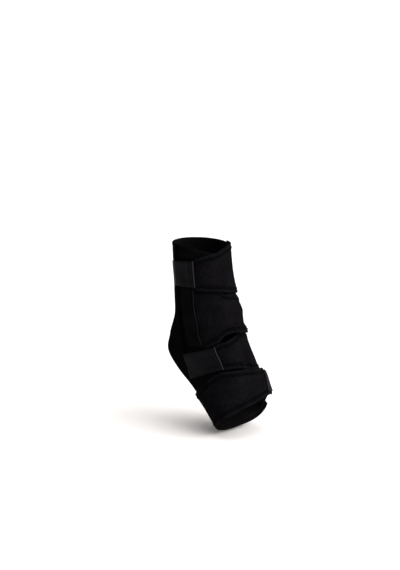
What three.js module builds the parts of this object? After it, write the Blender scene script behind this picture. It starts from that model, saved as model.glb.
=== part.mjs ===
// Ankle brace for a right foot: a padded wrap round the back of the leg, the heel and the sole, sewn
// from three panels and closed over the front by four flaps whose hook tabs lie at the sides.
// Millimetres. +Z is up the leg, +X is towards the toes, -Y is the outer side of the ankle.
// The origin is on the leg's axis at the height of the ankle joint.
import * as THREE from 'three'

// Driving dimensions.
const legLength = 132 // from the ankle joint up to the first section, level with the top rim
const legDepth = 68 // front to back inside the top rim
const legWidth = 63 // side to side inside the top rim
const footLength = 240 // the wearer's foot, which the heel, sole and instep follow
const footWidth = 79 // side to side inside the toe rim
const bodyWall = 3.2 // padded knit-faced wrap
const flapWall = 3.2 // upper flap and ankle flap
const strapWall = 3.0 // instep strap
const bandWall = 3.0 // foot band
const channelWall = 1.4 // stay pocket sewn on the wrap
const tabWall = 1.6 // hook tabs
const layerGap = 0.4 // between one layer and the next
const seamGap = 0.6 // between two edges that are sewn together
const tabLap = 4 // how far a hook tab reaches back over the flap that it closes
const footTabLap = 11 // the same for the foot band's tab
const upperTabLength = 36
const ankleTabLength = 34
const instepTabLength = 33
const footTabLength = 29

// The sleeve is a fan of sections, level round the leg and turning until they stand across the foot.
// Each goes from a front point to a back point and is as wide as twice its half width.
// Leg sections: front and back are shares of legDepth, levels of legLength, half widths of legWidth.
const legSections = [
  { rung: 0, front: 0.412, frontLevel: 1.0, back: -0.588, backLevel: 1.0, halfWidth: 0.5 },
  { rung: 1, front: 0.434, frontLevel: 0.795, back: -0.574, backLevel: 0.795, halfWidth: 0.486 },
  { rung: 2, front: 0.495, frontLevel: 0.591, back: -0.551, backLevel: 0.591, halfWidth: 0.489 },
  { rung: 3, front: 0.612, frontLevel: 0.394, back: -0.524, backLevel: 0.379, halfWidth: 0.522 },
]
// Foot sections: front, back and their levels are shares of footLength, half widths of footWidth.
const footSections = [
  { rung: 4, front: 0.21, frontLevel: 0.117, back: -0.15, backLevel: 0.092, halfWidth: 0.43 },
  { rung: 5, front: 0.232, frontLevel: 0.033, back: -0.197, backLevel: -0.017, halfWidth: 0.425 },
  { rung: 6, front: 0.272, frontLevel: -0.04, back: -0.212, backLevel: -0.112, halfWidth: 0.43 },
  { rung: 7, front: 0.304, frontLevel: -0.093, back: -0.112, backLevel: -0.189, halfWidth: 0.43 },
  { rung: 8, front: 0.326, frontLevel: -0.144, back: -0.008, backLevel: -0.246, halfWidth: 0.443 },
  { rung: 9, front: 0.346, frontLevel: -0.194, back: 0.085, backLevel: -0.304, halfWidth: 0.468 },
  { rung: 10, front: 0.366, frontLevel: -0.243, back: 0.177, backLevel: -0.364, halfWidth: 0.487 },
  { rung: 11, front: 0.383, frontLevel: -0.29, back: 0.266, backLevel: -0.43, halfWidth: 0.5 },
]

// How far each quarter of a section swells from an ellipse towards a box, as a share of its radius.
const fullness = [
  { rung: 0, outerFront: 0.03, outerBack: 0.02, innerBack: 0.02, innerFront: 0.03 },
  { rung: 3, outerFront: 0.04, outerBack: 0.02, innerBack: 0.02, innerFront: 0.04 },
  { rung: 5, outerFront: 0.06, outerBack: 0.02, innerBack: 0.02, innerFront: 0.06 },
  { rung: 6, outerFront: 0.06, outerBack: 0.04, innerBack: 0.04, innerFront: 0.06 },
  { rung: 7, outerFront: 0.06, outerBack: 0.1, innerBack: 0.1, innerFront: 0.06 },
  { rung: 9, outerFront: 0.02, outerBack: 0.12, innerBack: 0.12, innerFront: 0.08 },
  { rung: 11, outerFront: -0.02, outerBack: 0.16, innerBack: 0.16, innerFront: 0.12 },
]
const quarters = ['outerFront', 'outerBack', 'innerBack', 'innerFront']

// Edges of the pieces. A rung is a place in the fan of sections, from 0 at the top to 11 at the toe
// rim, so it follows legLength and footLength. An angle goes round a section in degrees: 0 at the
// front, 90 on the outer side, 180 at the back or under the sole, 270 on the inner side.
const bodyTopRim = [
  { angle: 8, rung: 0.9 }, { angle: 14, rung: 0.84 }, { angle: 32, rung: 0.74 },
  { angle: 52, rung: 0.62 }, { angle: 80, rung: 0.49 }, { angle: 122, rung: 0.46 },
  { angle: 180, rung: 0.42 }, { angle: 250, rung: 0.45 }, { angle: 300, rung: 0.5 },
  { angle: 360, rung: 0.7 },
]
const bodyToeRim = [
  { angle: 40, rung: 11.46 }, { angle: 70, rung: 11.4 }, { angle: 120, rung: 11.16 },
  { angle: 180, rung: 11.12 }, { angle: 235, rung: 10.97 }, { angle: 300, rung: 10.55 },
  { angle: 330, rung: 10.5 },
]
const bodyOuterEdge = [ // where the wrap ends on the outer side, under the flaps
  { rung: 0.4, angle: 69 }, { rung: 2.5, angle: 68.5 }, { rung: 3.5, angle: 68.5 },
  { rung: 4.5, angle: 66 }, { rung: 5.5, angle: 63.5 }, { rung: 6.2, angle: 62 },
  { rung: 7.8, angle: 58 }, { rung: 9, angle: 51 }, { rung: 11.4, angle: 46 },
]
const bodyInnerEdge = [ // where it ends on the inner side
  { rung: 0.4, angle: 346 }, { rung: 1.6, angle: 348 }, { rung: 2.4, angle: 353 }, { rung: 3, angle: 356 },
  { rung: 3.6, angle: 353 }, { rung: 4.4, angle: 343 }, { rung: 4.9, angle: 335 }, { rung: 6, angle: 328 },
  { rung: 8, angle: 326 }, { rung: 10, angle: 320 }, { rung: 11.3, angle: 316 },
]
const overlayAngle = 8 // how far forward the wrap's top corner reaches under the upper flap
const overlayRung = 2.36 // lower edge of that corner
const heelSeam = 3.6 // rung where the wrap's leg panel is sewn to its heel panel
const soleSeam = 7.2 // and its heel panel to its sole panel
const outerChannelFront = [
  { rung: 1, angle: 66.5 }, { rung: 2.5, angle: 66 }, { rung: 3.5, angle: 66 },
  { rung: 4.5, angle: 63.5 }, { rung: 5.5, angle: 61 },
]
const innerChannelFront = [{ rung: 1, angle: 71 }, { rung: 5.5, angle: 72 }]
const channelBack = [
  { rung: 1, angle: 99 }, { rung: 2.6, angle: 101.5 }, { rung: 3.9, angle: 100 },
  { rung: 4.6, angle: 93 }, { rung: 5.2, angle: 87 }, { rung: 5.5, angle: 85 },
]
const channelTop = 1.35
const channelBottom = 5.5
const upperFlapEnds = { from: -69, to: 64.5 }
const upperFlapTop = [
  { angle: -69, rung: 0.46 }, { angle: -44, rung: 0.48 }, { angle: -22, rung: 0.54 },
  { angle: -2, rung: 0.66 }, { angle: 9, rung: 0.76 }, { angle: 17, rung: 0.82 },
  { angle: 34, rung: 0.88 }, { angle: 50, rung: 1.02 }, { angle: 66, rung: 1.2 },
]
const upperFlapBottom = [
  { angle: -69, rung: 3 }, { angle: -36, rung: 2.9 }, { angle: 18, rung: 2.68 },
  { angle: 52, rung: 2.58 }, { angle: 66, rung: 2.52 },
]
const upperTabTop = [{ angle: 58.5, rung: 1.16 }, { angle: 122, rung: 1.3 }]
const upperTabBottom = [{ angle: 58.5, rung: 2.42 }, { angle: 122, rung: 2.44 }]
const ankleFlapEnds = { from: -62, to: 72 }
const ankleFlapTop = [
  { angle: -62, rung: 4 }, { angle: -43, rung: 3.64 }, { angle: -20, rung: 3.12 },
  { angle: -6, rung: 2.9 }, { angle: 8, rung: 2.82 }, { angle: 13, rung: 2.66 },
  { angle: 20, rung: 2.48 }, { angle: 30, rung: 2.44 }, { angle: 72, rung: 2.44 },
]
const ankleFlapBottom = [
  { angle: -62, rung: 5.26 }, { angle: -38, rung: 5.2 }, { angle: -12, rung: 5.1 },
  { angle: -6, rung: 5.03 }, { angle: 7, rung: 4.96 }, { angle: 22, rung: 5.08 },
  { angle: 28, rung: 5.24 }, { angle: 35, rung: 5.43 }, { angle: 50, rung: 5.68 },
  { angle: 60, rung: 5.9 },
]
const ankleTabTop = [{ angle: -116, rung: 3.9 }, { angle: -56, rung: 4.06 }]
const ankleTabBottom = [{ angle: -116, rung: 5.04 }, { angle: -56, rung: 4.96 }]
const instepStrapEnds = { from: -69, to: 49 }
const instepStrapTop = [
  { angle: -69, rung: 6.05 }, { angle: -58, rung: 5.94 }, { angle: -48, rung: 5.46 },
  { angle: -38, rung: 5.02 }, { angle: -26, rung: 4.9 }, { angle: -12, rung: 4.98 },
  { angle: -6, rung: 5.1 }, { angle: 6, rung: 5.22 }, { angle: 22, rung: 5.4 },
  { angle: 35, rung: 5.47 }, { angle: 50, rung: 5.74 },
]
const instepStrapBottom = [
  { angle: -69, rung: 8.46 }, { angle: -29, rung: 8.32 }, { angle: -8, rung: 8.1 },
  { angle: 8, rung: 7.84 }, { angle: 19, rung: 7.76 }, { angle: 30, rung: 7.74 },
  { angle: 48, rung: 7.7 },
]
const instepTabSlant = 7 // degrees that the tab's far end moves round for each rung down
const instepTabMiddle = 7
const instepTabTop = [{ angle: 44, rung: 5.72 }, { angle: 98, rung: 6.2 }]
const instepTabBottom = [{ angle: 44, rung: 7.64 }, { angle: 98, rung: 7.86 }]
const footBandEnds = { from: -55, to: 262 }
const footBandTop = [
  { angle: -55, rung: 8.32 }, { angle: -36, rung: 8.26 }, { angle: -8, rung: 8.1 },
  { angle: 6, rung: 7.96 }, { angle: 12, rung: 7.98 }, { angle: 32, rung: 7.89 },
  { angle: 47, rung: 7.84 }, { angle: 80, rung: 8.36 }, { angle: 119, rung: 8.86 },
  { angle: 180, rung: 9 }, { angle: 262, rung: 8.8 },
]
const footBandToe = [
  { angle: -55, rung: 10.84 }, { angle: -44, rung: 10.88 }, { angle: -24, rung: 11.2 },
  { angle: -4, rung: 11.5 }, { angle: 16, rung: 11.68 }, { angle: 46, rung: 11.72 },
  { angle: 66, rung: 11.66 }, { angle: 90, rung: 11.42 }, { angle: 118, rung: 11.3 },
  { angle: 180, rung: 11.26 }, { angle: 235, rung: 11.1 }, { angle: 262, rung: 10.95 },
]
const footTabTop = [{ angle: -86, rung: 8.7 }, { angle: -36, rung: 8.54 }]
const footTabBottom = [{ angle: -86, rung: 10.5 }, { angle: -36, rung: 10.62 }]

// Where the layers climb over each other, in degrees round the sleeve or in rungs down it.
const flapOnWrap = { from: 12, to: 0 } // the ankle flap's climb on to the wrap's inner edge
const flapOverStrap = { from: 12, to: 0, above: 0.6, full: 0.14 } // and over the instep strap's top edge
const strapOnWrap = { from: -6, to: -20 } // the instep strap's climb on to the wrap
const bandOverStrap = { from: 0, to: -14, full: 0.16, below: 2.2 } // the foot band's, over the strap
const tabOffFlap = { from: 1, to: 12 } // past a flap's end, where its tab comes down
const tabOffPocket = { from: 104.5, to: 113.5 } // past a stay pocket
const tabOffBand = { from: 2, to: 15 } // past the foot band's end

// Grid steps, which set how fine the facets are.
const angleStep = 7
const rungStep = 0.3
const wrapGrid = { cornerRows: 5, legRows: 8, heelRows: 9, soleRows: 10, cornerColumns: 8, columns: 34 }
const pocketGrid = { rows: 10, columns: 4 }

const { degToRad, lerp, clamp } = THREE.MathUtils
const turn = 360
const quarterTurn = turn / 4
const degreesPerMillimetre = turn / (Math.PI * (legDepth + legWidth) / 2)

// A tab's ends, from the end of its flap: side is 1 on the outer side and -1 on the inner side.
function tabEnds(flapEnd, side, lap, length) {
  const near = flapEnd - side * lap * degreesPerMillimetre
  const far = near + side * length * degreesPerMillimetre
  return { from: Math.min(near, far), to: Math.max(near, far) }
}

const upperTabEnds = tabEnds(upperFlapEnds.to, 1, tabLap, upperTabLength)
const ankleTabEnds = tabEnds(ankleFlapEnds.from, -1, tabLap, ankleTabLength)
const instepTabEnds = tabEnds(instepStrapEnds.to, 1, tabLap, instepTabLength)
const footTabEnds = tabEnds(footBandEnds.from, -1, footTabLap, footTabLength)

// A smooth curve through the rows of a table: cubic pieces whose slope at each row is the slope
// between its two neighbours. Past the ends it goes on straight.
function curve(rows, across, value) {
  const x = rows.map((row) => row[across])
  const y = rows.map((row) => value(row))
  const last = rows.length - 1
  const slope = x.map((_, k) => {
    const before = Math.max(k - 1, 0)
    const after = Math.min(k + 1, last)
    return (y[after] - y[before]) / (x[after] - x[before])
  })
  return (at) => {
    if (at <= x[0]) return y[0] + slope[0] * (at - x[0])
    if (at >= x[last]) return y[last] + slope[last] * (at - x[last])
    const k = x.findIndex((edge) => edge > at) - 1
    const span = x[k + 1] - x[k]
    const f = (at - x[k]) / span
    const rise = f * f * (3 - 2 * f)
    const leave = f * (1 - f) * (1 - f) * span * slope[k]
    const arrive = f * f * (f - 1) * span * slope[k + 1]
    return y[k] + (y[k + 1] - y[k]) * rise + leave + arrive
  }
}

// The two section tables in millimetres, and a curve down the fan through each column.
const sections = [
  ...legSections.map((row) => ({ ...row, reach: legDepth, height: legLength, breadth: legWidth })),
  ...footSections.map((row) => ({ ...row, reach: footLength, height: footLength, breadth: footWidth })),
]
const frontX = curve(sections, 'rung', (row) => row.front * row.reach)
const frontZ = curve(sections, 'rung', (row) => row.frontLevel * row.height)
const backX = curve(sections, 'rung', (row) => row.back * row.reach)
const backZ = curve(sections, 'rung', (row) => row.backLevel * row.height)
const halfWidth = curve(sections, 'rung', (row) => row.halfWidth * row.breadth)
const fullnessOf = quarters.map((quarter) => curve(fullness, 'rung', (row) => row[quarter]))

// A point on the inner face of the sleeve: an ellipse swollen in its quarters, in the section's plane.
function onSleeve(rung, angle) {
  const front = new THREE.Vector3(frontX(rung), 0, frontZ(rung))
  const back = new THREE.Vector3(backX(rung), 0, backZ(rung))
  const v = degToRad(angle)
  const quarter = Math.floor((((angle % turn) + turn) % turn) / quarterTurn)
  const swell = 1 + fullnessOf[quarter](rung) * Math.sin(2 * v) ** 2
  const point = front.clone().add(back).multiplyScalar(0.5)
  point.addScaledVector(front.sub(back), 0.5 * swell * Math.cos(v))
  point.y -= halfWidth(rung) * swell * Math.sin(v)
  return point
}

// The same point moved outwards, square to the sleeve, by a height above its inner face.
function offSleeve(rung, angle, height) {
  const step = 0.01
  const round = onSleeve(rung, angle + step).sub(onSleeve(rung, angle - step))
  const down = onSleeve(rung + step, angle).sub(onSleeve(rung - step, angle))
  return onSleeve(rung, angle).addScaledVector(round.cross(down).normalize(), height)
}

// A closed wall over a grid of rungs and angles. place gives each grid point's rung and angle, inner its
// height above the sleeve, and filled says which cells of the grid are cloth.
function wall({ rows, columns, place, inner, thickness, filled = () => true }) {
  const width = columns + 1
  const count = width * (rows + 1)
  const positions = []
  for (const lift of [thickness, 0]) {
    for (let i = 0; i <= rows; i++) {
      for (let j = 0; j <= columns; j++) {
        const { rung, angle } = place(i / rows, j / columns, i, j)
        positions.push(...offSleeve(rung, angle, inner(rung, angle) + lift).toArray())
      }
    }
  }
  const isCloth = (i, j) => i >= 0 && j >= 0 && i < rows && j < columns && filled(i, j)
  const faces = []
  const addQuad = (a, b, c, d) => faces.push(a, b, c, a, c, d)
  for (let i = 0; i < rows; i++) {
    for (let j = 0; j < columns; j++) {
      if (!isCloth(i, j)) continue
      const corner = [i * width + j, i * width + j + 1, (i + 1) * width + j + 1, (i + 1) * width + j]
      const across = [[i - 1, j], [i, j + 1], [i + 1, j], [i, j - 1]]
      addQuad(...corner)
      addQuad(...corner.map((k) => k + count).reverse())
      across.forEach(([ni, nj], side) => {
        const from = corner[side]
        const to = corner[(side + 1) % 4]
        if (!isCloth(ni, nj)) addQuad(to, from, from + count, to + count)
      })
    }
  }
  const geometry = new THREE.BufferGeometry()
  geometry.setAttribute('position', new THREE.Float32BufferAttribute(positions, 3))
  geometry.setIndex(faces)
  const used = geometry.toNonIndexed()
  used.computeVertexNormals()
  return used
}

// Rises from 0 to 1 between two values, with no corner at either.
function ramp(at, start, end) {
  const f = clamp((at - start) / (end - start), 0, 1)
  return f * f * (3 - 2 * f)
}

// A strip between two edge curves, from one end angle to another.
function strip({ ends, top, bottom, inner, thickness, shift = () => 0 }) {
  const topEdge = curve(top, 'angle', (row) => row.rung)
  const bottomEdge = curve(bottom, 'angle', (row) => row.rung)
  const middle = (ends.from + ends.to) / 2
  const rows = Math.max(3, Math.round((bottomEdge(middle) - topEdge(middle)) / rungStep))
  const columns = Math.round((ends.to - ends.from) / angleStep)
  const place = (down, along) => {
    const straight = lerp(ends.from, ends.to, along)
    const guess = lerp(topEdge(straight), bottomEdge(straight), down)
    const angle = straight + shift(guess, along)
    return { rung: lerp(topEdge(angle), bottomEdge(angle), down), angle }
  }
  return wall({ rows, columns, place, inner, thickness })
}

const outerEdge = curve(bodyOuterEdge, 'rung', (row) => row.angle)
const innerEdge = curve(bodyInnerEdge, 'rung', (row) => row.angle)
const strapTop = curve(instepStrapTop, 'angle', (row) => row.rung)
const strapBottom = curve(instepStrapBottom, 'angle', (row) => row.rung)

// Heights of the layers above the sleeve's inner face.
const onBody = bodyWall + layerGap
const onChannel = onBody + channelWall + layerGap
const overStrap = strapWall + layerGap // what a layer adds where it passes over the instep strap

// A panel of the wrap between two edges. With cornerRows it has the corner that reaches to the front,
// a second grid joined to the first at the wrap's outer edge.
function wrapPanel({ top, bottom, rows, cornerRows = 0 }) {
  const corner = cornerRows > 0 ? wrapGrid.cornerColumns : 0
  const columns = corner + wrapGrid.columns
  const place = (down, along, i, j) => {
    const angleAt = (rung) => (j < corner
      ? lerp(overlayAngle, outerEdge(rung), j / corner)
      : lerp(outerEdge(rung), innerEdge(rung), (j - corner) / wrapGrid.columns))
    const rungAt = (angle) => {
      if (i < cornerRows) return lerp(top(angle), overlayRung, i / cornerRows)
      const above = cornerRows > 0 ? overlayRung : top(angle)
      return lerp(above, bottom(angle), (i - cornerRows) / (rows - cornerRows))
    }
    const guess = lerp(top(turn / 2), bottom(turn / 2), down)
    const rung = rungAt(angleAt(rungAt(angleAt(guess))))
    return { rung, angle: angleAt(rung) }
  }
  const filled = (i, j) => j >= corner || i < cornerRows
  return wall({ rows, columns, place, inner: () => 0, thickness: bodyWall, filled })
}

// One side of a seam between two panels, half the seam gap above it (-1) or below it (1).
function seamEdge(rung, side) {
  const step = 0.01
  return (angle) => {
    const length = onSleeve(rung + step, angle).distanceTo(onSleeve(rung - step, angle))
    return rung + side * 0.5 * seamGap * 2 * step / length
  }
}

const legPanel = () => wrapPanel({
  top: curve(bodyTopRim, 'angle', (row) => row.rung),
  bottom: seamEdge(heelSeam, -1),
  rows: wrapGrid.legRows,
  cornerRows: wrapGrid.cornerRows,
})

const heelPanel = () => wrapPanel({
  top: seamEdge(heelSeam, 1), bottom: seamEdge(soleSeam, -1), rows: wrapGrid.heelRows,
})

const solePanel = () => wrapPanel({
  top: seamEdge(soleSeam, 1),
  bottom: curve(bodyToeRim, 'angle', (row) => row.rung),
  rows: wrapGrid.soleRows,
})

// A stay pocket on the outer side, or on the inner side where side is -1.
function stayChannel(side) {
  const front = curve(side > 0 ? outerChannelFront : innerChannelFront, 'rung', (row) => row.angle)
  const back = curve(channelBack, 'rung', (row) => row.angle)
  const place = (down, along) => {
    const rung = lerp(channelTop, channelBottom, down)
    const share = side > 0 ? along : 1 - along
    return { rung, angle: side * lerp(front(rung), back(rung), share) }
  }
  return wall({ ...pocketGrid, place, inner: () => onBody, thickness: channelWall })
}

const upperFlap = () => strip({
  ends: upperFlapEnds, top: upperFlapTop, bottom: upperFlapBottom, inner: () => onBody, thickness: flapWall,
})

// The height of a tab that closes over a stay pocket: over its flap's end, down on the pocket, then down
// on the wrap. away is the angle from the front, on either side.
function tabHeight(flapHeight, flapEnd, away) {
  const toPocket = ramp(away, flapEnd + tabOffFlap.from, flapEnd + tabOffFlap.to)
  const toWrap = ramp(away, tabOffPocket.from, tabOffPocket.to)
  return flapHeight + (onChannel - flapHeight) * toPocket + (onBody - onChannel) * toWrap
}

const upperTab = () => strip({
  ends: upperTabEnds,
  top: upperTabTop,
  bottom: upperTabBottom,
  inner: (rung, angle) => tabHeight(onBody + flapWall + layerGap, upperFlapEnds.to, angle),
  thickness: tabWall,
})

// The ankle flap lies on the leg in front, on the wrap on the inner side, and there over the strap's edge.
function ankleFlapHeight(rung, angle) {
  const onWrap = onBody * ramp(angle, flapOnWrap.from, flapOnWrap.to)
  const edge = strapTop(angle)
  const nearStrap = ramp(rung, edge - flapOverStrap.above, edge - flapOverStrap.full)
  return onWrap + overStrap * ramp(angle, flapOverStrap.from, flapOverStrap.to) * nearStrap
}

const ankleFlap = () => strip({
  ends: ankleFlapEnds,
  top: ankleFlapTop,
  bottom: ankleFlapBottom,
  inner: ankleFlapHeight,
  thickness: flapWall,
  shift: (rung, along) => along ** 3 * (outerEdge(rung) - ankleFlapEnds.to - seamGap * degreesPerMillimetre),
})

const ankleTab = () => strip({
  ends: ankleTabEnds,
  top: ankleTabTop,
  bottom: ankleTabBottom,
  inner: (rung, angle) => {
    const onFlap = ankleFlapHeight(rung, Math.max(angle, ankleFlapEnds.from)) + flapWall + layerGap
    return tabHeight(onFlap, -ankleFlapEnds.from, -angle)
  },
  thickness: tabWall,
})

// The instep strap lies on the foot in front and on the wrap on the inner side.
const strapHeight = (angle) => onBody * ramp(angle, strapOnWrap.from, strapOnWrap.to)

const instepStrap = () => strip({
  ends: instepStrapEnds,
  top: instepStrapTop,
  bottom: instepStrapBottom,
  inner: (rung, angle) => strapHeight(angle),
  thickness: strapWall,
})

const instepTab = () => strip({
  ends: instepTabEnds,
  top: instepTabTop,
  bottom: instepTabBottom,
  inner: () => onBody,
  thickness: tabWall,
  shift: (rung, along) => along * instepTabSlant * (rung - instepTabMiddle),
})

// The foot band lies on the wrap, and on the inner side its edge passes over the instep strap's edge.
function footBandHeight(rung, angle) {
  const edge = strapBottom(angle)
  const nearStrap = ramp(rung, edge + bandOverStrap.below, edge + bandOverStrap.full)
  const onInnerSide = ramp(angle, bandOverStrap.from, bandOverStrap.to)
  return onBody + overStrap * onInnerSide * nearStrap
}

const footBand = () => strip({
  ends: footBandEnds, top: footBandTop, bottom: footBandToe, inner: footBandHeight, thickness: bandWall,
})

const footTab = () => strip({
  ends: footTabEnds,
  top: footTabTop,
  bottom: footTabBottom,
  inner: (rung, angle) => {
    const onBand = footBandHeight(rung, angle) + bandWall + layerGap
    const end = footBandEnds.from
    return onBody + (onBand - onBody) * ramp(angle, end - tabOffBand.to, end - tabOffBand.from)
  },
  thickness: tabWall,
})

const knit = { color: 0x242329, roughness: 0.92, metalness: 0 }
const darkKnit = { color: 0x1c1b20, roughness: 0.92, metalness: 0 }
const hookTab = { color: 0x4b4950, roughness: 0.7, metalness: 0 }

function piece(name, geometry, finish) {
  const mesh = new THREE.Mesh(geometry, new THREE.MeshStandardMaterial(finish))
  mesh.name = name
  return mesh
}

const ankleBrace = new THREE.Group()
ankleBrace.add(
  piece('leg_panel', legPanel(), darkKnit),
  piece('heel_panel', heelPanel(), darkKnit),
  piece('sole_panel', solePanel(), darkKnit),
  piece('lateral_stay_channel', stayChannel(1), darkKnit),
  piece('medial_stay_channel', stayChannel(-1), darkKnit),
  piece('upper_flap', upperFlap(), knit),
  piece('upper_hook_tab', upperTab(), hookTab),
  piece('ankle_flap', ankleFlap(), knit),
  piece('ankle_hook_tab', ankleTab(), hookTab),
  piece('instep_strap', instepStrap(), knit),
  piece('instep_hook_tab', instepTab(), hookTab),
  piece('foot_band', footBand(), knit),
  piece('foot_hook_tab', footTab(), hookTab),
)

export default ankleBrace
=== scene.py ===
# %% [markdown]
# An ankle brace for a right foot. A padded wrap goes round the back of the leg, the heel and the sole.
# Four flaps close it over the front, and each ends in a hook tab that presses on to the wrap's side.
# Every piece is a surface worked out with numpy on a grid that follows the leg and the foot, so layers
# lie on each other as sewn cloth does. Sizes are in millimetres until a mesh is made.

import bpy
import numpy as np
from mathutils import Matrix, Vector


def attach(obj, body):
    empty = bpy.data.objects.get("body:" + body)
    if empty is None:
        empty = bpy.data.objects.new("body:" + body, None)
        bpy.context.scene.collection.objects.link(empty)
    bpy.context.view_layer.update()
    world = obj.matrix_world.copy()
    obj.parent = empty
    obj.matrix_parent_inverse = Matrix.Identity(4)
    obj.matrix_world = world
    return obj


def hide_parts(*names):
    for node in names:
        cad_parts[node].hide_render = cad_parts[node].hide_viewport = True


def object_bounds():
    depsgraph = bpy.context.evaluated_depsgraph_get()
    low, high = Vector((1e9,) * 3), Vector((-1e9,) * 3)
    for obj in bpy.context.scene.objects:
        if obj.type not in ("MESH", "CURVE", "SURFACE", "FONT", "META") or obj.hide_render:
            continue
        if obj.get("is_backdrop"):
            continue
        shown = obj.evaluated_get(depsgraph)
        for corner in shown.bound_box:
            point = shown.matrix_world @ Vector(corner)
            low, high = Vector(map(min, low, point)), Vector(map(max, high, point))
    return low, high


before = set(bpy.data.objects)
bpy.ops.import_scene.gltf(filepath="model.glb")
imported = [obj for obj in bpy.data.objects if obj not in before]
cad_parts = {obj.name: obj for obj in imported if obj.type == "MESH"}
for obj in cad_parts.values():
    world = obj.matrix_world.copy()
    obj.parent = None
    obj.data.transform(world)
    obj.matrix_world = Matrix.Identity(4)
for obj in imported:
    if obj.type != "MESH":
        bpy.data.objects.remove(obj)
cad_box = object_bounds()
MM = 0.001
print("CAD box, mm:", [[round(c / MM, 1) for c in corner] for corner in cad_box])

# %% [markdown]
# The leg and foot inside a brace aren't one tube but a fan of sections: level round the leg, turning
# until they stand across the foot. A lofted skin through a few sections would do, and so would sculpting.
# A formula is chosen because each strap, stitch and dent can then be placed by two numbers: a rung, from
# 0 at the top to 11 at the toes, and an angle, 0 in front, 90 on the outer side and 180 behind.

# %% Sizes
LEG_LENGTH, LEG_DEPTH, LEG_WIDTH = 132, 68, 63
FOOT_LENGTH, FOOT_WIDTH = 240, 79
BODY_WALL, FLAP_WALL, STRAP_WALL, BAND_WALL = 3.2, 3.2, 3.0, 3.0
POCKET_WALL, TAB_WALL = 1.4, 1.6
LAYER_GAP = 0.4  # air between two layers
DEGREES_PER_MM = 360 / (np.pi * (LEG_DEPTH + LEG_WIDTH) / 2)
print("one degree round the leg is", round(1 / DEGREES_PER_MM, 2), "mm")

# %% The fan of sections, as shares of those sizes
LEG_RUNGS = {
    "rung": [0, 1, 2, 3],
    "front": [0.412, 0.434, 0.495, 0.612],
    "front_level": [1, 0.795, 0.591, 0.394],
    "back": [-0.588, -0.574, -0.551, -0.524],
    "back_level": [1, 0.795, 0.591, 0.379],
    "half_width": [0.5, 0.486, 0.489, 0.522],
}
FOOT_RUNGS = {
    "rung": [4, 5, 6, 7, 8, 9, 10, 11],
    "front": [0.21, 0.232, 0.272, 0.304, 0.326, 0.346, 0.366, 0.383],
    "front_level": [0.117, 0.033, -0.04, -0.093, -0.144, -0.194, -0.243, -0.29],
    "back": [-0.15, -0.197, -0.212, -0.112, -0.008, 0.085, 0.177, 0.266],
    "back_level": [0.092, -0.017, -0.112, -0.189, -0.246, -0.304, -0.364, -0.43],
    "half_width": [0.43, 0.425, 0.43, 0.43, 0.443, 0.468, 0.487, 0.5],
}
FULLNESS = {  # how far each quarter of a section swells from an ellipse towards a box
    "rung": [0, 3, 5, 6, 7, 9, 11],
    "outer_front": [0.03, 0.04, 0.06, 0.06, 0.06, 0.02, -0.02],
    "outer_back": [0.02, 0.02, 0.02, 0.04, 0.1, 0.12, 0.16],
    "inner_back": [0.02, 0.02, 0.02, 0.04, 0.1, 0.12, 0.16],
    "inner_front": [0.03, 0.04, 0.06, 0.06, 0.06, 0.08, 0.12],
}


# %% A smooth curve through a few chosen values
def curve(x, y):
    """A line through the points (x, y). Between two points it is the cubic whose slope at each point is
    the slope between that point's two neighbours, and past both ends it goes on straight."""
    x, y = np.asarray(x, float), np.asarray(y, float)
    before, after = np.maximum(np.arange(len(x)) - 1, 0), np.minimum(np.arange(len(x)) + 1, len(x) - 1)
    slope = (y[after] - y[before]) / (x[after] - x[before])

    def at(q):
        q = np.asarray(q, float)
        k = np.clip(np.searchsorted(x, q, side="right") - 1, 0, len(x) - 2)
        span = x[k + 1] - x[k]
        f = (q - x[k]) / span
        inside = y[k] + (y[k + 1] - y[k]) * f * f * (3 - 2 * f)
        inside += span * (slope[k] * f * (1 - f) ** 2 + slope[k + 1] * f * f * (f - 1))
        inside = np.where(f < 0, y[0] + slope[0] * (q - x[0]), inside)
        return np.where(f > 1, y[-1] + slope[-1] * (q - x[-1]), inside)

    return at


def ramp(at, start, end):
    """Rises from 0 to 1 between start and end, with no corner at either: f squared times (3 - 2f)."""
    f = np.clip((at - start) / (end - start), 0, 1)
    return f * f * (3 - 2 * f)


def column(name, leg_size, foot_size):
    """One column of the two section tables in millimetres, as a curve down the fan."""
    rungs = LEG_RUNGS["rung"] + FOOT_RUNGS["rung"]
    sizes = [leg_size * v for v in LEG_RUNGS[name]] + [foot_size * v for v in FOOT_RUNGS[name]]
    return curve(rungs, sizes)


front_x, back_x = column("front", LEG_DEPTH, FOOT_LENGTH), column("back", LEG_DEPTH, FOOT_LENGTH)
front_z = column("front_level", LEG_LENGTH, FOOT_LENGTH)
back_z = column("back_level", LEG_LENGTH, FOOT_LENGTH)
half_width = column("half_width", LEG_WIDTH, FOOT_WIDTH)
QUARTERS = ("outer_front", "outer_back", "inner_back", "inner_front")
fullness = [curve(FULLNESS["rung"], FULLNESS[quarter]) for quarter in QUARTERS]
print("widths down the fan, mm:", (2 * half_width(np.arange(12))).round().tolist())


# %% A point on the sleeve
def on_sleeve(rung, angle):
    """The inner face of the brace: in each section's plane an ellipse from the front point to the back
    point, as wide as twice its half width, swollen by 1 + fullness times the squared sine of 2 angle."""
    v = np.radians(angle)
    quarter = (np.mod(angle, 360) // 90).astype(int)
    swell = 1 + np.choose(quarter, [f(rung) for f in fullness]) * np.sin(2 * v) ** 2
    x = (front_x(rung) + back_x(rung)) / 2 + (front_x(rung) - back_x(rung)) / 2 * swell * np.cos(v)
    z = (front_z(rung) + back_z(rung)) / 2 + (front_z(rung) - back_z(rung)) / 2 * swell * np.cos(v)
    return np.stack([x, -half_width(rung) * swell * np.sin(v), z], -1)


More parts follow.
